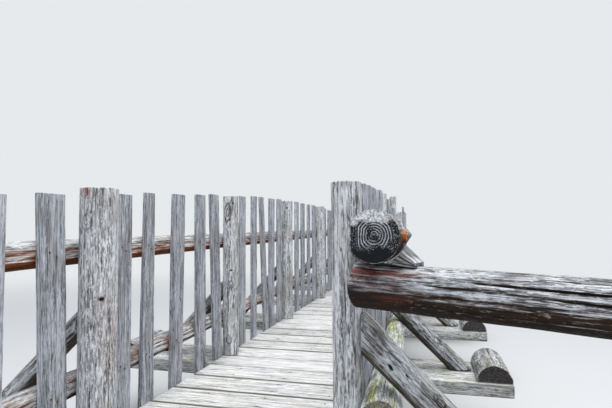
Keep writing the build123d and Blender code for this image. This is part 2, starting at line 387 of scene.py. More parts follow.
class Skin:
    """Closed tubes gathered into one mesh, with what the materials read from them."""

    def __init__(self):
        self.points, self.quads, self.fans = [], [], []
        self.grain, self.marks, self.quad_kinds, self.fan_kinds = [], [], [], []
        self.count = 0

    def add_tube(self, rings, grain, marks, kind=0):
        """A tube of rings, closed over the middles of its first and last one."""
        rows, columns = rings.shape[:2]
        number = self.count + np.arange(rows * columns).reshape(rows, columns)
        after = np.roll(number, -1, axis=1)
        quads = np.stack((number[:-1], after[:-1], after[1:], number[1:]), axis=-1).reshape(-1, 4)
        first = self.count + rows * columns
        fans = np.concatenate((
            np.stack((np.full(columns, first), after[0], number[0]), axis=-1),
            np.stack((np.full(columns, first + 1), number[-1], after[-1]), axis=-1),
        ))
        points = np.concatenate((rings.reshape(-1, 3), rings[[0, -1]].mean(axis=1)))
        a, b, c = rings[:-1], np.roll(rings, -1, axis=1)[:-1], rings[1:]
        inward = (np.cross(b - a, c - a) * (a - rings.mean(axis=(0, 1)))).sum() < 0
        if inward:
            quads, fans = quads[:, ::-1], fans[:, ::-1]
        self.points.append(points)
        self.quads.append(quads)
        self.fans.append(fans)
        for store, values in ((self.grain, grain), (self.marks, marks)):
            store.append(values.reshape(rows * columns, -1))
            store.append(values[[0, -1]].mean(axis=1))
        self.quad_kinds.append(np.full(len(quads), kind))
        self.fan_kinds.append(np.full(len(fans), kind))
        self.count += len(points)

    def add_closed(self, first_cap, body, last_cap):
        """A tube with rings, grain and marks of its own at both ends."""
        parts = zip(first_cap, body, last_cap)
        self.add_tube(*(np.concatenate((first[::-1], middle, last)) for first, middle, last in parts))

    def finish(self, name, slot, materials, node):
        """Makes the piece, hides the CAD node that it stands for and lets it ride."""
        points = np.concatenate(self.points)
        quads = np.concatenate(self.quads)
        fans = np.concatenate(self.fans)
        corners = np.concatenate((quads.ravel(), fans.ravel()))
        starts = np.concatenate((np.arange(len(quads)) * 4, quads.size + np.arange(len(fans)) * 3))
        kinds = np.concatenate(self.quad_kinds + self.fan_kinds)
        mesh = bpy.data.meshes.new(name)
        mesh.vertices.add(len(points))
        mesh.vertices.foreach_set("co", points.astype(np.float32).ravel())
        mesh.loops.add(len(corners))
        mesh.loops.foreach_set("vertex_index", corners.astype(np.int32))
        mesh.polygons.add(len(starts))
        mesh.polygons.foreach_set("loop_start", starts.astype(np.int32))
        for material in materials:
            mesh.materials.append(material)
        mesh.polygons.foreach_set("material_index", kinds.astype(np.int32))
        mesh.polygons.foreach_set("use_smooth", np.ones(len(starts), bool))
        for label, kind, field, values in (
            ("grain", "FLOAT_VECTOR", "vector", self.grain),
            ("marks", "FLOAT_COLOR", "color", self.marks),
        ):
            data = mesh.attributes.new(label, kind, "POINT").data
            data.foreach_set(field, np.concatenate(values).astype(np.float32).ravel())
        mesh.update(calc_edges=True)
        mesh.validate()
        piece = bpy.data.objects.new(name, mesh)
        bpy.context.scene.collection.objects.link(piece)
        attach(piece, "root")
        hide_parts(node)


def row_places(length, spacing, rim):
    """Places along a piece from 0 to its length, closer together at the two rims."""
    count = max(int(length / spacing), 6)
    inner = np.linspace(rim, length - rim, count)
    edge = np.array((0, 0.12, 0.4, 0.7)) * rim
    return np.concatenate((edge, inner, length - edge[::-1]))


def rim_inset(places, length, rim):
    """How far the surface draws in at the rounded rims."""
    inside = np.clip(np.minimum(places, length - places) / rim, 0, 1)
    return rim * 0.8 * (1 - np.sqrt(1 - (1 - inside) ** 2))


# Logs

def turn_between(angles, angle):
    """Signed turn from an angle to others, half a circle at most."""
    return (angles - angle + pi) % (2 * pi) - pi


def crack_columns(columns, cracks, radius):
    """Angles of a log's columns, with five close ones down each crack, and each crack's depths."""
    angles = np.arange(columns) / columns * 2 * pi
    for one in cracks:
        apart = np.abs(turn_between(angles, one["angle"]))
        angles = angles[apart > 1.5 * one["width"] / radius]
    crack_angles = [
        (one["angle"] + share * one["width"] / radius) % (2 * pi)
        for one in cracks
        for share in (-1, -0.45, 0, 0.45, 1)
    ]
    angles = np.sort(np.concatenate((angles, crack_angles)))
    profiles = []
    for one in cracks:
        apart = np.abs(turn_between(angles, one["angle"]))
        profiles.append(np.clip(1 - apart * radius / one["width"], 0, 1) ** 0.8)
    return angles, profiles


def random_cracks(count, chance):
    """Drying cracks spread round a log."""
    cracks = []
    for step in range(count):
        middle = chance.uniform(0.1, 0.9)
        half = chance.uniform(0.12, 0.4)
        angle = (step + chance.uniform(0.2, 0.8)) / count * 2 * pi
        width = chance.uniform(0.0022, 0.0045)
        cracks.append(crack(angle, middle - half, middle + half, width, chance.uniform(0.004, 0.010)))
    return cracks


def random_knots(count, chance):
    """Small dark knots spread over a log."""
    knots = []
    for step in range(count):
        angle, place = chance.uniform(0, 2 * pi), chance.uniform(0.1, 0.9)
        size, rise = chance.uniform(0.012, 0.022), chance.uniform(0.0, 0.003)
        knots.append(mark(angle, place, size, rise=rise, dark=chance.uniform(0.4, 0.9)))
    return knots


def with_flats(reach, log, outward, offset, share, local, seed):
    """The reach of a log's surface, cut back to its hewn flats."""
    hewn = hewn_wear * np.clip(0.5 + 0.5 * noise(local * (30, 30, 5), seed + 9), 0, 1)
    for normal, near, far in log.flats:
        distance = near + (far - near) * share - (offset * normal).sum(axis=-1)
        facing = outward @ normal
        flat = (distance - hewn) / np.maximum(facing, 0.02)
        reach = np.where(facing > 0.02, np.minimum(reach, flat), reach)
    return reach


def with_cracks(reach, cracks, profiles, places, share, seed):
    """The reach of a log's surface with its cracks, and how open they are."""
    cavity = np.zeros_like(reach)
    for one, profile in zip(cracks, profiles):
        run = smooth_step(one["start"], one["start"] + crack_taper, share)
        run = run * (1 - smooth_step(one["end"] - crack_taper, one["end"], share))
        uneven = 0.75 + 0.35 * noise(stacked(places * 9, one["angle"] * 7, 0), seed + 3)
        open_share = run * np.clip(uneven, 0.1, 1)[:, None] * profile
        reach = reach - one["depth"] * open_share
        cavity = np.maximum(cavity, open_share)
    return reach, cavity


def with_knots(reach, cavity, log, knots, angles, places, size, local, seed):
    """The reach, cavity and stain of a log's surface with its knots, scars and torn patches."""
    stain = np.zeros_like(reach)
    warp = 1 + 0.22 * noise(local * (45, 45, 30), seed + 15)
    torn = np.clip(0.75 + 1.1 * noise(local * (130, 130, 7), seed + 17), 0, 1)
    sooty = 0.7 + 0.5 * noise(local * (60, 60, 12), seed + 13)
    for knot in knots:
        wide = knot["size"]
        aside = turn_between(angles, knot["angle"]) * size
        beside = (places[:, None] - knot["place"] * log.length) * knot.get("long", 0.75)
        apart = np.sqrt(aside ** 2 + beside ** 2) * warp
        swell = np.exp(-(apart / wide) ** 2)
        within = np.exp(-(apart / wide) ** 4)
        outer_ring = np.exp(-((apart - 0.75 * wide) / (0.22 * wide)) ** 2)
        inner_ring = np.exp(-((apart - 0.3 * wide) / (0.12 * wide)) ** 2)
        rings = 0.7 * np.maximum(outer_ring, inner_ring) * knot.get("ring", 0)
        hole = np.exp(-(apart / (0.45 * wide)) ** 4) * knot.get("hole", 0)
        # Darkened patches, partly painted shade, join the cavity and take the hollow colour.
        soot = within * knot.get("soot", 0) * sooty
        patch = within * knot.get("patch", 0) * torn
        dark = knot.get("dark", 0) * (0.75 * outer_ring + 0.45 * swell)
        reach = reach + knot.get("rise", 0) * swell - knot_hole_depth * hole - knot_ring_depth * rings
        stain = np.maximum.reduce((stain, dark, patch))
        cavity = np.maximum.reduce((cavity, hole, rings, soot))
    return reach, cavity, stain


def old_sawn_end(flat, height, shares, growth_rings, seed):
    """How dark and how bleached a sawn end is: growth rings, a worn top and a darker bottom."""
    patchy = noise(flat * (34, 34, 1), seed + 31, 3)
    bend = 0.16 * noise(flat * (22, 22, 1), seed + 32) + 0.12 * patchy
    line = (0.5 + 0.5 * np.cos(2 * pi * (shares * growth_rings + bend))) ** 2
    line = line * smooth_step(0.90, 0.60, shares) * np.clip(0.8 + 0.6 * patchy, 0.1, 1)
    worn_top = smooth_step(0.34, 0.58, height + 0.16 * patchy)
    darker_bottom = smooth_step(0.25, 0.70, 0.12 * patchy - height)
    return np.maximum(0.97 * (1 - line), 1.5 * darker_bottom) * (1 - 0.93 * worn_top), worn_top


def log_cap(log, rim_points, normal, cavity, tint, seed, count, pith_rise, growth_rings):
    """The rings, grain and marks that close a log's end."""
    first, second = across(log.axis)
    middle = rim_points.mean(axis=0) + pith_rise * np.array((0, 0, 1))
    shares = np.linspace(0.985, 0.03, count)[:, None]
    cap = middle + (rim_points - middle) * shares[..., None]
    local = cap - log.start
    flat = stacked(local @ first, local @ second, 0)
    rough = end_wear * np.clip(0.5 + 0.5 * noise(flat * (60, 60, 1), seed + 21), 0, 1)
    rough = rough + 0.004 * cavity * shares
    dark, bleach = 0.8 * cavity * shares ** 2, 0
    if growth_rings:
        height = (cap[..., 2] - middle[2]) / max(log.radii)
        dark, bleach = old_sawn_end(flat, height, shares, growth_rings, seed)
        rough = rough + 0.0022 * dark
    cap = cap - normal * (rough * smooth_step(1, 0.95, shares))[..., None]
    grain = stacked(flat[..., 0], flat[..., 1], local @ log.axis + 13.7 * seed)
    return cap, grain, stacked(dark, bleach, tint, 1)


def add_log(skin, log, seed, spacing, columns, lumps=log_lumps, cracks=6, knots=3, rim=log_rim,
            near_cap_rings=7, growth_rings=0, pith_rise=0.0, own_cracks=(), own_knots=(),
            swelling=0.001, reshape=None):
    """The weathered surface of a log, drawn inward from its solid, with cracks and knots."""
    chance = np.random.default_rng(seed)
    cracks = list(own_cracks) + random_cracks(cracks, chance)
    knots = list(own_knots) + random_knots(knots, chance)
    angles, profiles = crack_columns(columns, cracks, max(log.radii))
    places = row_places(log.length, spacing, rim)
    share = (places / log.length)[:, None]
    wobble = 0.07 * noise(stacked(places * 1.7, seed, 0), seed) + 0.03 * chance.uniform(-1, 1) * places
    angle = angles + wobble[:, None]
    first, second = across(log.axis)
    outward = np.cos(angle)[..., None] * first + np.sin(angle)[..., None] * second
    size = log.radii[0] + (log.radii[1] - log.radii[0]) * share

    offset = np.zeros(share.shape + (3,))
    if len(log.flats) == 1:
        normal, near, far = log.flats[0]
        offset = -normal * ((size - (near + (far - near) * share)) / 2)[..., None]
    lean = (outward * offset).sum(axis=-1)
    round_reach = -lean + np.sqrt(lean ** 2 - (offset ** 2).sum(axis=-1) + size ** 2)

    local = stacked(size * np.cos(angle), size * np.sin(angle), places[:, None])
    worn = lumps * (0.5 + 0.5 * noise(local * (9, 9, 3.2), seed, 3))
    worn = worn + log_ridge * (0.5 + 0.5 * noise(local * (85, 85, 9), seed + 5))
    reach = with_flats(round_reach - worn, log, outward, offset, share, local, seed)
    reach, cavity = with_cracks(reach, cracks, profiles, places, share, seed)
    reach, cavity, stain = with_knots(reach, cavity, log, knots, angles, places, size, local, seed)
    reach = np.minimum(reach, round_reach + swelling) - rim_inset(places, log.length, rim)[:, None]
    points = log.start + log.axis * places[:, None, None] + offset + outward * reach[..., None]

    near_slide, far_slide = (
        (centre - points[row]) @ normal / (log.axis @ normal)
        for row, centre, normal in ((0, log.start, log.normals[0]), (-1, log.end, log.normals[1]))
    )
    points = points + log.axis * (near_slide * (1 - share) + far_slide * share)[..., None]
    if reshape:
        points = reshape(points)
    relative = points - log.start
    grain = stacked(relative @ first, relative @ second, relative @ log.axis + 13.7 * seed)
    tint = chance.uniform(0, 1)
    near_cap = log_cap(log, points[0], log.normals[0], cavity[0], tint, seed, near_cap_rings, pith_rise,
                       growth_rings)
    far_cap = log_cap(log, points[-1], log.normals[1], cavity[-1], tint, seed, 7, pith_rise, 0)
    skin.add_closed(near_cap, (points, grain, stacked(cavity, stain, tint, 0)), far_cap)


# Boards

def section_loop(width, thickness, edge, step):
    """Points round a board's section with rounded corners, and their outward directions."""
    places, outward = [], []
    corners = ((width - edge, thickness - edge), (edge, thickness - edge), (edge, edge), (width - edge, edge))
    runs = (width - 2 * edge, thickness - 2 * edge) * 2
    for number, ((x, y), run) in enumerate(zip(corners, runs)):
        turn = number * pi / 2
        count = max(int(run / step), 2)
        steps = [(turn + share * pi / 2, 0) for share in (0, 0.5, 1)]
        steps += [(turn + pi / 2, part) for part in np.arange(1, count) / count]
        for angle, part in steps:
            outward.append((cos(angle), sin(angle)))
            places.append((
                x + edge * cos(angle) - run * part * sin(angle),
                y + edge * sin(angle) + run * part * cos(angle),
            ))
    return np.array(places), np.array(outward)


def board_point(corners, wide, through, along):
    """A point of a board from its shares of width, thickness and length."""
    total = 0
    for number in np.ndindex(2, 2, 2):
        weight = 1
        for side, share in zip(number, (wide, through, along)):
            weight = weight * (share if side else 1 - share)
        total = total + weight[..., None] * corners[number]
    return total


def nail_rust(nails, local, width, length):
    """Rust that runs down a board from its nails."""
    stain = np.zeros(local.shape[:-1])
    for wide, along in nails:
        aside = (local[..., 0] - wide * width) / rust_width
        below = along * length - local[..., 2]
        streak = np.where(below > 0, np.exp(-below / rust_length), np.exp(-(below / 0.008) ** 2))
        stain = np.maximum(stain, streak * np.exp(-aside ** 2))
    return stain


def board_cap(points, grain, marks):
    """The rings, grain and marks that close a board's end."""
    shares = np.linspace(0.94, 0.15, 3)[:, None, None]
    middle = points.mean(axis=0)
    cap_marks = marks * shares + np.array((0, 0, marks[0, 2], 0)) * (1 - shares)
    cap_marks[..., 3] = 1
    cap_grain = grain * shares + grain.mean(axis=0) * (1 - shares)
    return middle + (points - middle) * shares, cap_grain, cap_marks


def add_board(skin, corners, seed, spacing=0.048, step=0.013, edge=board_edge, ridge=board_ridge,
              wave=board_wave, nails=(), nail_face=1, edge_mark=0.0, grooves=0, trodden=0.0,
              reshape=None):
    """The weathered surface of a board, drawn inward from its corners, and its nails."""
    width, thickness, length = (
        np.linalg.norm(np.diff(corners, axis=axis), axis=-1).mean() for axis in range(3)
    )
    section, outward = section_loop(width, thickness, edge, step)
    rows = row_places(length, spacing, edge)
    local = stacked(section[:, 0], section[:, 1], rows[:, None])
    shift = np.array((3.1, 1.7, 5.3)) * seed
    worn = ridge * (0.5 + 0.5 * noise(local * (140, 140, 4) + shift, seed))
    worn = worn + wave * np.abs(outward[:, 0]) * (0.5 + 0.5 * noise(local * (6, 6, 5) + shift, seed + 1))
    worn = worn + board_dents * (0.5 + 0.5 * noise(local * (12, 12, 3) + shift, seed + 2))
    worn = worn + rim_inset(rows, length, edge)[:, None]
    furrow = 0
    if grooves:
        bend = 0.25 * noise(local * (8, 8, 14) + shift, seed + 4)
        furrow = (0.5 + 0.5 * np.cos(2 * pi * (grooves * section[:, 1] / thickness + bend))) ** 2
        worn = worn + furrow_depth * furrow
    drawn_in = local[..., :2] - outward * worn[..., None]
    wide, through = drawn_in[..., 0] / width, drawn_in[..., 1] / thickness
    along = np.broadcast_to((rows / length)[:, None], wide.shape)
    points = board_point(corners, wide, through, along)
    if reshape:
        points = reshape(points)
    stain = nail_rust(nails, local, width, length)
    if trodden:
        ragged = 0.05 * noise(local * (14, 14, 8) + shift, seed + 6)
        stain = 1 - smooth_step(trodden - 0.05, trodden + 0.03, np.abs(points[..., 0]) + ragged)
    from_edge = np.minimum(local[..., 0], width - local[..., 0])
    cavity = np.maximum((1 - smooth_step(0.002, 0.018, from_edge)) * edge_mark, 0.6 * furrow)
    tint = np.random.default_rng(seed).uniform(0, 1)
    grain = local + np.array((0.61, 0.37, 5.3)) * seed
    body = (points, grain, stacked(cavity, stain, tint, 0))
    near_cap, far_cap = (board_cap(*(part[row] for part in body)) for row in (0, -1))
    skin.add_closed(near_cap, body, far_cap)
    for nail_wide, nail_along in nails:
        add_nail(skin, corners, nail_wide, nail_along, nail_face)


def add_nail(skin, corners, wide, along, face):
    """A low domed nail head on one face of a board."""
    wide, face, along = (np.array(value, float) for value in (wide, face, along))
    seat = board_point(corners, wide, face, along)
    other = board_point(corners, wide, 1 - face, along)
    up = (seat - other) / np.linalg.norm(seat - other)
    first, second = across(up)
    angle = np.arange(10) / 10 * 2 * pi
    round_ring = np.cos(angle)[:, None] * first + np.sin(angle)[:, None] * second
    profile = ((0.5, -0.003), (1, -0.003), (1, 0.0), (0.75, 0.7 * nail_rise), (0.35, nail_rise))
    rings = np.array([
        seat + up * (height - nail_seat) + round_ring * nail_radius * reach for reach, height in profile
    ])
    skin.add_tube(rings, rings - seat, np.zeros(rings.shape[:2] + (4,)), kind=1)


# Materials

def tone(colour):
    """A colour given as it shows on a screen, 0 to 255, in the light that shaders use."""
    parts = [value / 255 for value in colour]
    return [part / 12.92 if part < 0.04045 else ((part + 0.055) / 1.055) ** 2.4 for part in parts] + [1]


def darker(colour, share):
    """A tone at a share of its brightness."""
    return [part * share for part in tone(colour)[:3]] + [1]


def add_node(tree, kind, inputs, **settings):
    """The outputs of a new shader node with its settings made and its inputs linked or set."""
    node = tree.nodes.new(kind)
    for name, value in settings.items():
        setattr(node, name, value)
    for socket, value in inputs.items():
        if isinstance(value, bpy.types.NodeSocket):
            tree.links.new(value, node.inputs[socket])
        else:
            node.inputs[socket].default_value = value
    return node.outputs


class Shader:
    """A node material put together with short calls, with the colour painted so far."""

    def __init__(self, name):
        self.material = bpy.data.materials.new(name)
        self.material.use_nodes = True
        self.tree = self.material.node_tree
        self.grain = self.add("ShaderNodeAttribute", {}, attribute_name="grain")["Vector"]
        marks = self.add("ShaderNodeAttribute", {}, attribute_name="marks")
        self.cavity, self.stain, self.tint = self.add("ShaderNodeSeparateColor", {0: marks["Color"]})[:3]
        self.end = marks["Alpha"]
        normal = self.add("ShaderNodeNewGeometry", {})["Normal"]
        self.facing_up = self.add("ShaderNodeSeparateXYZ", {0: normal})[2]
        self.colour = None

    def add(self, kind, inputs, **settings):
        return add_node(self.tree, kind, inputs, **settings)

    def maths(self, operation, first, second=0.0):
        return self.add("ShaderNodeMath", {0: first, 1: second}, operation=operation)[0]

    def plus(self, first, second):
        return self.maths("ADD", first, second)

    def minus(self, first, second):
        return self.maths("SUBTRACT", first, second)

    def times(self, first, *values):
        for value in values:
            first = self.maths("MULTIPLY", first, value)
        return first

    def speckle(self, factors, detail=4.0, roughness=0.6, warp=0.0):
        """Noise in the grain's own axes: across twice, then along."""
        scaled = self.add("ShaderNodeVectorMath", {0: self.grain, 1: factors}, operation="MULTIPLY")[0]
        inputs = {"Vector": scaled, "Scale": 1.0, "Detail": detail, "Roughness": roughness,
                  "Distortion": warp}
        return self.add("ShaderNodeTexNoise", inputs)[0]

    def band(self, value, low, high):
        """0 below low, 1 above high and smooth between them; the other way round if low is higher."""
        inputs = {"Value": value, "From Min": low, "From Max": high}
        return self.add("ShaderNodeMapRange", inputs, interpolation_type="SMOOTHSTEP")[0]

    def mix(self, share, first, second, kind="MIX"):
        """Two colours mixed; one given as a tuple is meant as it shows on a screen."""
        first, second = (tone(colour) if isinstance(colour, tuple) else colour for colour in (first, second))
        inputs = {0: share, 6: first, 7: second}
        return self.add("ShaderNodeMix", inputs, data_type="RGBA", blend_type=kind)[2]

    def paint(self, colour, *shares, kind="MIX"):
        """Lays a colour over what is painted so far, by the product of shares."""
        self.colour = self.mix(self.times(*shares), self.colour, colour, kind)

    def line(self, value, width):
        """1 on the thin lines where noise passes its middle, 0 away from them."""
        return self.band(self.maths("ABSOLUTE", self.minus(value, 0.5)), width, width * 0.25)

    def finish(self, height, roughness=0.85, bump=0.004):
        surface = self.tree.nodes["Principled BSDF"]
        relief = self.add("ShaderNodeBump", {"Height": height, "Strength": 0.8, "Distance": bump})
        self.tree.links.new(self.colour, surface.inputs["Base Color"])
        self.tree.links.new(relief[0], surface.inputs["Normal"])
        surface.inputs["Roughness"].default_value = roughness
        surface.inputs["Specular IOR Level"].default_value = 0.25
        return self.material


def weathered_wood(name, dark, light, brown, cut, brown_share=0.35, fleck_share=0.0, pit_share=0.0,
                   moss_share=0.0, moss_low=0.2, under=None, under_share=0.0, under_from=0.1,
                   crack_width=0.012, crack_share=0.75, hair_share=0.45, edge_moss=0.0, blotch=None,
                   stained=(74, 52, 38), stain_depth=0.35, hollow=(30, 25, 22), ring_gap=0.0057,
                   ring_share=0.4, end_fleck=0.35, end_specks=0.0):
    """Grey weathered wood with grain, flecks, stains, cracks, moss and ringed cut ends; undersides darker,
    partly their own stain and partly painted shade, and painted shade in cracks and holes.
    """
    shader = Shader(name)
    speckle, band, mix, paint = shader.speckle, shader.band, shader.mix, shader.paint
    plus, minus, times = shader.plus, shader.minus, shader.times

    fine = speckle((260, 260, 5), 5.0, 0.65)
    streak = speckle((48, 48, 1.8), 4.0, 0.6, 0.4)
    hair = shader.line(speckle((120, 120, 2.5), 3.0), 0.035)
    cloud = speckle((7, 7, 3.5), 5.0, 0.62, 0.6)
    fleck = speckle((110, 110, 26), 5.0, 0.72, 0.5)
    thread = speckle((105, 105, 7), 5.0, 0.72, 0.3)
    value = plus(plus(times(fine, 0.25), times(streak, 0.25)), times(thread, 0.5))
    shader.colour = mix(band(value, 0.41, 0.59), dark, light)
    brightness = plus(times(shader.tint, 0.22), 0.89)
    grey = shader.add("ShaderNodeCombineColor", {0: brightness, 1: brightness, 2: brightness})[0]
    paint(grey, 1.0, kind="MULTIPLY")
    paint(brown, band(cloud, 0.48, 0.64), brown_share)
    if blotch:
        paint(blotch, band(speckle((14, 14, 9), 6.0, 0.7), 0.54, 0.63), 0.75)
    if fleck_share:
        paint((238, 240, 243), band(fleck, 0.50, 0.57), band(cloud, 0.66, 0.44), fleck_share)
    if pit_share:
        paint((62, 60, 60), band(fleck, 0.45, 0.36), pit_share)
    # Undersides turn darker and browner, with pale specks: partly the wood's own stain underneath, partly
    # painted shade.
    if under:
        leaning = plus(shader.facing_up, times(plus(plus(streak, thread), -1.0), 1.5))
        downward = times(band(leaning, under_from, under_from - 0.4), under_share)
        paint(mix(band(value, 0.43, 0.58), darker(under, 0.22), under), downward)
        paint((196, 186, 172), downward, band(fleck, 0.58, 0.64), 0.5)

    cracks = shader.line(speckle((30, 30, 1.0), 2.0, 0.5, 0.3), crack_width)
    cracks = times(cracks, band(speckle((20, 20, 5), 2.0, 0.5), 0.44, 0.55))
    paint((48, 45, 45), hair, band(streak, 0.56, 0.44), hair_share)
    paint((38, 33, 31), cracks, crack_share)

    parts = shader.add("ShaderNodeSeparateXYZ", {0: shader.grain})
    squares = plus(times(parts[0], parts[0]), times(parts[1], parts[1]))
    distance = plus(shader.maths("SQRT", squares), times(speckle((28, 28, 0), 3.0, 0.5), 0.012))
    rings = shader.maths("SINE", times(distance, 2 * pi / ring_gap))
    end_colour = mix(band(rings, -0.3, 0.8), cut, darker(cut, ring_share))
    end_colour = mix(times(band(fleck, 0.50, 0.62), end_fleck), end_colour, light)
    paint(end_colour, shader.end, 0.92)

    stain_colour = mix(band(thread, 0.42, 0.58), darker(stained, stain_depth), stained)
    paint(stain_colour, shader.stain, 0.9)
    # Painted shade: faces that point downward are multiplied darker, standing in for the shadow beneath them.
    paint((96, 90, 84), band(shader.facing_up, -0.02, -0.8), 0.75, kind="MULTIPLY")
    if moss_share:
        moss = mix(band(fine, 0.40, 0.60), (86, 92, 36), (200, 208, 70))
        patches = band(speckle((16, 16, 7), 6.0, 0.7), 0.50, 0.60)
        upward = band(shader.facing_up, moss_low, 0.95)
        paint(moss, patches, upward, moss_share, minus(1.0, shader.stain))
    if edge_moss:
        paint((84, 88, 52), shader.cavity, edge_moss)
    else:
        # Painted shade: cracks, knot holes and grooves take the near-black hollow colour; knot rings and the
        # growth rings of sawn ends take it as their own dark, and darkened patches take it too.
        specks = times(band(fine, 0.55, 0.63), band(shader.cavity, 1.4, 0.95), end_specks, shader.end)
        paint(hollow, band(shader.cavity, 0.15, 0.9), minus(1.0, specks))

    height = plus(times(thread, 0.45), times(streak, 0.45))
    height = minus(minus(height, times(cracks, 0.6)), times(hair, 0.25))
    return shader.finish(plus(height, times(fleck, 0.5 if fleck_share else 0.15)))


def rusty_iron():
    shader = Shader("rusty_iron")
    spot = shader.speckle((900, 900, 900), 4.0, 0.7)
    shader.colour = shader.mix(shader.band(spot, 0.35, 0.65), (58, 38, 30), (120, 78, 52))
    return shader.finish(spot, 0.7, 0.0006)


picket_wood = weathered_wood(
    "picket_wood", (106, 109, 117), (196, 200, 210), (150, 143, 134), (150, 146, 142),
    brown_share=0.30, fleck_share=0.35, pit_share=0.25)
deck_wood = weathered_wood(
    "deck_wood", (190, 190, 188), (255, 255, 255), (228, 224, 214), (150, 140, 126),
    brown_share=0.25, hair_share=0.6, edge_moss=0.8, pit_share=0.3, fleck_share=0.3)
outrigger_wood = weathered_wood(
    "outrigger_wood", (94, 94, 95), (236, 237, 239), (112, 96, 80), (118, 110, 100),
    brown_share=0.3, fleck_share=1.0, pit_share=0.5, moss_share=0.4, moss_low=0.6, edge_moss=0.2,
    stained=(252, 252, 251), stain_depth=0.62)
block_wood = weathered_wood(
    "block_wood", (54, 56, 60), (178, 180, 184), (106, 92, 76), (50, 43, 39),
    fleck_share=0.7, pit_share=0.5, moss_share=0.15, end_fleck=0.12)
post_wood = weathered_wood(
    "post_wood", (90, 90, 95), (240, 243, 247), (160, 143, 122), (140, 132, 122),
    brown_share=0.3, fleck_share=1.0, pit_share=0.5)
chipped_post_wood = weathered_wood(
    "chipped_post_wood", (114, 113, 115), (228, 231, 235), (166, 148, 126), (140, 132, 122),
    brown_share=0.3, fleck_share=1.0, pit_share=0.35, hair_share=0.3, stained=(178, 104, 66))
brace_wood = weathered_wood(
    "brace_wood", (54, 56, 61), (224, 228, 234), (112, 98, 80), (120, 110, 96),
    fleck_share=0.75, pit_share=0.6, under=(118, 96, 52), under_share=0.8, under_from=-0.1,
    moss_share=0.10)
# The further braces use a darker, browner copy of the brace wood.
further_brace_wood = weathered_wood(
    "further_brace_wood", (34, 35, 39), (174, 178, 184), (104, 92, 76), (120, 110, 96),
    brown_share=0.4, fleck_share=0.6, pit_share=0.7, under=(104, 88, 50), under_share=0.85,
    under_from=0.0, moss_share=0.15)
rail_wood = weathered_wood(
    "rail_wood", (138, 136, 132), (236, 238, 240), (190, 170, 142), (132, 120, 108),
    brown_share=0.3, fleck_share=0.7, pit_share=0.5, under=(200, 108, 24), under_share=1.0,
    under_from=0.16)
lower_rail_wood = weathered_wood(
    "lower_rail_wood", (92, 88, 84), (226, 226, 226), (150, 112, 84), (128, 112, 96),
    brown_share=0.5, fleck_share=0.7, pit_share=0.6, under=(110, 74, 46), under_share=0.85,
    under_from=0.05, blotch=(170, 66, 30))
mossy_rail_wood = weathered_wood(
    "mossy_rail_wood", (112, 117, 111), (238, 241, 242), (160, 156, 112), (124, 116, 100),
    brown_share=0.3, fleck_share=0.9, pit_share=0.5, moss_share=0.95, moss_low=-0.5)
stringer_wood = weathered_wood(
    "stringer_wood", (84, 78, 72), (148, 142, 134), (92, 76, 58), (110, 94, 76), brown_share=0.5)
sill_wood = weathered_wood(
    "sill_wood", (78, 72, 66), (142, 136, 128), (84, 72, 54), (110, 94, 76),
    brown_share=0.5, moss_share=0.4)
wing_wood = weathered_wood(
    "wing_wood", (34, 34, 40), (222, 225, 231), (70, 67, 70), (110, 84, 62),
    brown_share=0.6, fleck_share=0.7, pit_share=0.8, under=(70, 46, 28), under_share=1.0,
    under_from=0.26, crack_width=0.022, crack_share=0.9, hair_share=0.75, stained=(158, 76, 52))
disc_wood = weathered_wood(
    "disc_wood", (84, 84, 90), (226, 229, 235), (140, 124, 108), (196, 199, 206),
    brown_share=0.3, fleck_share=0.6, pit_share=0.6, under=(84, 62, 44), under_share=1.0,
    under_from=0.3, stained=(252, 253, 255), hollow=(20, 21, 25), ring_share=0.85, end_fleck=0.25,
    end_specks=0.85)
stub_wood = weathered_wood(
    "stub_wood", (150, 78, 38), (238, 150, 84), (150, 130, 112), (226, 122, 56),
    brown_share=0.5, ring_gap=0.004)
chock_wood = weathered_wood(
    "chock_wood", (96, 99, 106), (244, 247, 252), (132, 120, 108), (128, 124, 120),
    brown_share=0.2, fleck_share=0.4, pit_share=0.4, crack_width=0.02, crack_share=0.9)
iron = rusty_iron()


# Pieces

def make_log_piece(node, slot, material, logs, seed, **looks):
    skin = Skin()
    for number, log in enumerate(logs):
        add_log(skin, log, seed + 31 * number, **looks)
    skin.finish(node + "_wood", slot, [material], node)


def make_boards(node, slot, material, order, seed, nails_of=None, **looks):
    """Boards of a node; order names the axes along, through and across them."""
    skin = Skin()
    for number, points in enumerate(solids_of(node)):
        corners = board_corners(points, *order)
        nails = nails_of(corners) if nails_of else ()
        add_board(skin, corners, seed + number, nails=nails, **looks)
    skin.finish(node + "_boards", slot, [material, iron] if nails_of else [material], node)


def read_rails():
    """The logs of each rail node, in order along the bridge."""
    rails = {}
    for node in ("left_top_rail", "left_lower_rail", "right_top_rail", "right_lower_rail"):
        solids = [points for points in solids_of(node) if np.ptp(points[:, 1]) > 1]
        rails[node] = [read_log(points, (0, 1, 0), 0.012) for points in solids]
    return rails


rail_logs = read_rails()
right_rail = rail_logs["right_top_rail"][0]
right_rail.radii = [right_rail.radii[0] + disc_fuller, right_rail.radii[1]]
stringer_places = [
    sum(corner[0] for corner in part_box(side + "_stringer")) / 2 for side in ("left", "middle", "right")
]


def picket_nails(side):
    """Where a side's pickets are nailed to its rails, as shares of width and length."""
    def nails(corners):
        middle = corners.mean(axis=(0, 1, 2))[1]
        low, high = corners[:, :, 0, 2].mean(), corners[:, :, 1, 2].mean()
        found = []
        for node in (side + "_top_rail", side + "_lower_rail"):
            logs = rail_logs[node]
            rail = min(logs, key=lambda log: abs((log.start[1] + log.end[1]) / 2 - middle))
            if min(log.start[1] for log in logs) < middle < max(log.end[1] for log in logs):
                along = (rail.height_at(middle) - low) / (high - low)
                found += [(0.36, along + 0.008), (0.62, along - 0.010)]
        return found
    return nails


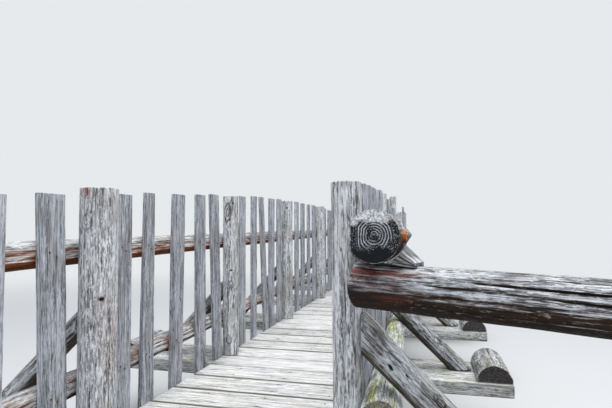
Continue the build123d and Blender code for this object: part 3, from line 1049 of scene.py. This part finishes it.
def plank_nails(corners):
    """Two nails over each stringer."""
    low, high = corners[:, :, 0, 0].mean(), corners[:, :, 1, 0].mean()
    return [(wide, (place - low) / (high - low)) for place in stringer_places for wide in (0.22, 0.76)]


def make_deck_pieces():
    for number in range(1, 7):
        make_boards("deck_planks_%d" % number, "deck_board", deck_wood, (0, 2, 1), 100 + 10 * number,
                    plank_nails, edge=0.006, edge_mark=1.0)
    for number in range(1, 6):
        make_boards("outrigger_%d" % number, "outrigger_timber", outrigger_wood, (0, 2, 1),
                    200 + 10 * number, edge=0.011, wave=0.005, step=0.014, edge_mark=1.0,
                    trodden=trodden_half_width)


def both_sides(kind, count, first_seed, seed_step=10):
    """Node and seed of the pieces that are numbered alike on both sides."""
    for side, side_seed in (("left", first_seed), ("right", first_seed + 100)):
        for number in range(1, count + 1):
            yield "%s_%s_%d" % (side, kind, number), side_seed + seed_step * number


def make_pickets():
    for node, seed in both_sides("pickets", 4, 300, 20):
        side = node.split("_")[0]
        make_boards(node, "picket_board", picket_wood, (2, 0, 1), seed, picket_nails(side),
                    nail_face=1 if side == "left" else 0, edge=0.004)


def split_head(node, log):
    """Lowers the part of a post's head that a slanting break took away, read from its solid."""
    points = solids_of(node)[0]
    side = np.sign(log.start[0])
    reach = side * points[:, 0]
    head = points[points[:, 2] > log.end[2] - 0.001]
    tip = (side * head[:, 0]).min()
    inner = reach.min()
    shoulder = points[reach < inner + 0.003, 2].max()
    slope = (log.end[2] - shoulder) / (tip - inner)
    if shoulder > log.end[2] - 0.03:
        return None

    def lowered(places):
        ragged = 0.007 * noise(places * (60, 60, 3), 5)
        limit = shoulder + (side * places[..., 0] - inner) * slope + ragged
        share = np.minimum(1, (limit - log.start[2]) / (log.end[2] - log.start[2]))
        level = log.start[2] + (places[..., 2] - log.start[2]) * share
        return stacked(places[..., 0], places[..., 1], level)
    return lowered


def make_posts():
    """The posts; those with marks of their own, and the first ones, have finer meshes."""
    marked_meshes = {"left_post_1": (0.009, 100), "left_post_2": (0.011, 84), "left_post_3": (0.014, 60)}
    for node, seed in both_sides("post", 5, 500):
        log = upright_log(node)
        marks = [dict(one, place=(one["place"] - log.start[2]) / log.length)
                 for one in post_marks.get(node, ())]
        spacing, columns = (0.012, 72) if node.endswith("1") else (0.018, 48)
        looks = {"knots": 5}
        if marks:
            spacing, columns = marked_meshes[node]
            looks = {"knots": 0, "swelling": 0.010, "own_knots": marks}
        make_log_piece(node, "post_log", chipped_post_wood if node == "left_post_1" else post_wood, [log],
                       seed, spacing=spacing, columns=columns, reshape=split_head(node, log), **looks)


def make_braces():
    for node, seed in both_sides("brace", 5, 700):
        points = solids_of(node)[0]
        axis = long_axis(points)
        log = read_log(points, axis * np.sign(axis[2]))
        if node in brace_marks:
            log.radii = [radius + brace_fuller for radius in log.radii]
        spacing, columns = (0.009, 80) if node == "right_brace_1" else (0.016, 48)
        make_log_piece(node, "brace_log", brace_wood if node.endswith("1") else further_brace_wood, [log], seed,
                       spacing=spacing, columns=columns, lumps=0.006, rim=0.016, swelling=0.012,
                       own_knots=brace_marks.get(node, ()))


def read_stub():
    """The branch stub on the right top rail, from inside the rail to its sawn face."""
    points = min(solids_of("right_top_rail"), key=lambda solid: np.ptp(solid[:, 1]))
    end = points[points[:, 0] > points[:, 0].max() - 0.001]
    middle = (end.min(axis=0) + end.max(axis=0)) / 2
    radius = np.ptp(end[:, 1]) / 2
    return Log(middle - (stub_root, 0, 0), middle - (stub_shorter, 0, 0), (radius, radius * 0.94))


def make_rails():
    make_log_piece("left_top_rail", "rail_log", rail_wood, rail_logs["left_top_rail"], 901,
                   spacing=0.038, columns=50, cracks=7, knots=12)
    make_log_piece("left_lower_rail", "lower_rail_log", lower_rail_wood, rail_logs["left_lower_rail"], 911,
                   spacing=0.036, columns=46, cracks=5, knots=5, lumps=0.007)
    make_log_piece("right_lower_rail", "mossy_rail_log", mossy_rail_wood, rail_logs["right_lower_rail"], 921,
                   spacing=0.036, columns=46, cracks=5, knots=3)

    def near_end_worn(places):
        share = 1 - smooth_step(right_rail.start[1], right_rail.start[1] + disc_reach, places[..., 1])
        rise = (places[..., 2] - right_rail.start[2]) / right_rail.radii[0]
        retreat = disc_retreat * smooth_step(0.3, 1.0, rise)
        return places + stacked(-disc_shift * share, retreat * share, 0)

    make_log_piece("right_top_rail", "wing_log", disc_wood, [right_rail], 931, spacing=0.05, columns=120,
                   cracks=7, knots=0, rim=0.004, lumps=0.0025, near_cap_rings=84, growth_rings=9,
                   pith_rise=0.011, reshape=near_end_worn)
    skin = Skin()
    add_log(skin, read_stub(), 935, spacing=0.004, columns=40, cracks=0, knots=0, rim=0.003)
    skin.finish("right_top_rail_stub", "wing_log", [stub_wood], "right_top_rail")


def make_wing():
    points = solids_of("wing_rail")[0]
    axis = long_axis(points)
    plain = square_log(points, axis * np.sign(axis[0]))
    lower = np.array((0, 0, -wing_lower))
    radius = plain.radii[0] + wing_fuller
    start = plain.start + lower + wing_start_shorter * plain.axis
    wing = Log(start, plain.end + lower - wing_shorter * plain.axis, (radius, radius))
    post = upright_log("right_post_1")
    make_log_piece("wing_rail", "wing_log", wing_wood, [wing], 941, spacing=0.011, columns=100, cracks=7,
                   knots=3, rim=0.012, lumps=0.006, own_cracks=wing_cracks, own_knots=wing_marks,
                   reshape=lambda places: clear_of(clear_of(places, right_rail), post))
    make_log_piece("wing_post", "post_log", post_wood, [upright_log("wing_post")], 945, spacing=0.016,
                   columns=48, cracks=5, reshape=lambda places: clear_of(places, wing))
    make_chock(wing)


def make_chock(wing):
    """The wedge on the wing rail, bedded on it and against the top rail."""
    points = solids_of("rail_chock")[0]
    level = np.array((wing.axis[0], wing.axis[1], 0)) / np.hypot(*wing.axis[:2])
    aside = np.array((-level[1], level[0], 0))
    local = np.column_stack((points @ level, points @ aside, points[:, 2]))
    low, high = local.min(axis=0), local.max(axis=0)
    toe = local[local[:, 0] > high[0] - 0.002, 2].max()
    high[0] = high[0] - chock_shorter
    corners = np.zeros((2, 2, 2, 3))
    for wide, through, along in np.ndindex(2, 2, 2):
        top = (high[2] + chock_higher, toe + chock_higher / 4)[along]
        height = top if through else low[2]
        corners[wide, through, along] = (
            level * (low[0], high[0])[along] + aside * (low[1], high[1])[wide] + (0, 0, height)
        )
    skin = Skin()
    add_board(skin, corners, 947, spacing=0.003, step=0.0025, ridge=0.003, grooves=4,
              reshape=lambda places: clear_of(clear_of(places, right_rail), wing))
    skin.finish("rail_chock_wood", "chock_wedge", [chock_wood], "rail_chock")


def notched(places):
    """Lowers the stringers' tops where an outrigger lies in its notch."""
    level = places[..., 2]
    for number in range(1, 6):
        low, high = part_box("outrigger_%d" % number)
        over = (places[..., 1] > low[1] - 0.004) & (places[..., 1] < high[1] + 0.004)
        level = np.where(over, np.minimum(level, low[2] - 0.0005), level)
    return stacked(places[..., 0], places[..., 1], level)


def make_ground_logs():
    for number, side in enumerate(("left", "middle", "right")):
        node = side + "_stringer"
        make_log_piece(node, "stringer_log", stringer_wood, [level_log(node, 1)], 951 + number,
                       spacing=0.06, columns=28, cracks=4, knots=6, reshape=notched)
    for number, side in enumerate(("near", "far")):
        node = side + "_sill"
        make_log_piece(node, "sill_log", sill_wood, [level_log(node, 0)], 961 + number,
                       spacing=0.03, columns=40, cracks=4, knots=3)
    for number in range(1, 6):
        node = "stop_blocks_%d" % number
        logs = [read_log(points, (0, 1, 0)) for points in solids_of(node)]
        make_log_piece(node, "stop_block_log", block_wood, logs, 971 + number, spacing=0.018, columns=38,
                       cracks=5, knots=1)


# The room

def make_floor():
    """A pale floor that fades into the backdrop with distance."""
    bpy.ops.mesh.primitive_plane_add(size=floor_size, location=(0, 0, 0))
    floor = bpy.context.object
    floor.name = "floor"
    material = bpy.data.materials.new("floor")
    material.use_nodes = True
    tree = material.node_tree
    surface = tree.nodes["Principled BSDF"]
    surface.inputs["Base Color"].default_value = floor_colour
    surface.inputs["Roughness"].default_value = 0.9
    far = add_node(tree, "ShaderNodeEmission", {"Color": backdrop_colour})[0]
    place = add_node(tree, "ShaderNodeNewGeometry", {})["Position"]
    distance = add_node(tree, "ShaderNodeVectorMath", {0: place}, operation="LENGTH")["Value"]
    span = {"Value": distance, "From Min": floor_fade_start, "From Max": floor_fade_end}
    fade = add_node(tree, "ShaderNodeMapRange", span, interpolation_type="SMOOTHSTEP")[0]
    either = add_node(tree, "ShaderNodeMixShader", {0: fade, 1: surface.outputs[0], 2: far})[0]
    tree.links.new(either, tree.nodes["Material Output"].inputs[0])
    floor.data.materials.append(material)


def make_sky():
    """Soft light from all round; the camera, reflections and glass see the backdrop instead."""
    world = bpy.data.worlds.new("room")
    bpy.context.scene.world = world
    world.use_nodes = True
    tree = world.node_tree
    soft = tree.nodes["Background"]
    soft.inputs["Color"].default_value = sky_colour
    soft.inputs["Strength"].default_value = sky_strength
    seen = add_node(tree, "ShaderNodeBackground", {"Color": backdrop_colour})[0]
    path = add_node(tree, "ShaderNodeLightPath", {})
    shown = path["Is Camera Ray"]
    for kind in ("Is Glossy Ray", "Is Transmission Ray"):
        shown = add_node(tree, "ShaderNodeMath", {0: shown, 1: path[kind]}, operation="MAXIMUM")[0]
    either = add_node(tree, "ShaderNodeMixShader", {0: shown, 1: soft.outputs[0], 2: seen})[0]
    tree.links.new(either, tree.nodes["World Output"].inputs[0])


def make_lamp():
    lamp = bpy.data.lights.new("sky_light", "AREA")
    lamp.shape = "RECTANGLE"
    lamp.size = lamp_width
    lamp.size_y = lamp_length
    lamp.energy = lamp_power
    lamp.color = lamp_colour
    holder = bpy.data.objects.new("sky_light", lamp)
    holder.location = lamp_place
    bpy.context.scene.collection.objects.link(holder)
    holder.rotation_euler = (lamp_target - holder.location).to_track_quat("-Z", "Y").to_euler()


def make_camera():
    turn, tilt, roll = camera_turn_left, camera_tilt_up, camera_roll
    forward = Vector((-sin(turn) * cos(tilt), cos(turn) * cos(tilt), sin(tilt)))
    level = Vector((cos(turn), sin(turn), 0))
    above = level.cross(forward)
    right = cos(roll) * level + sin(roll) * above
    upward = cos(roll) * above - sin(roll) * level
    data = bpy.data.cameras.new("camera")
    data.lens = camera_lens
    data.sensor_width = camera_sensor
    data.clip_start = 0.05
    camera = bpy.data.objects.new("camera", data)
    facing = Matrix((right, upward, -forward)).transposed().to_4x4()
    camera.matrix_world = Matrix.Translation(camera_place) @ facing
    bpy.context.scene.collection.objects.link(camera)
    bpy.context.scene.camera = camera


make_deck_pieces()
make_pickets()
make_posts()
make_braces()
make_rails()
make_wing()
make_ground_logs()
make_floor()
make_sky()
make_lamp()
make_camera()
bpy.context.scene.view_settings.view_transform = "Standard"
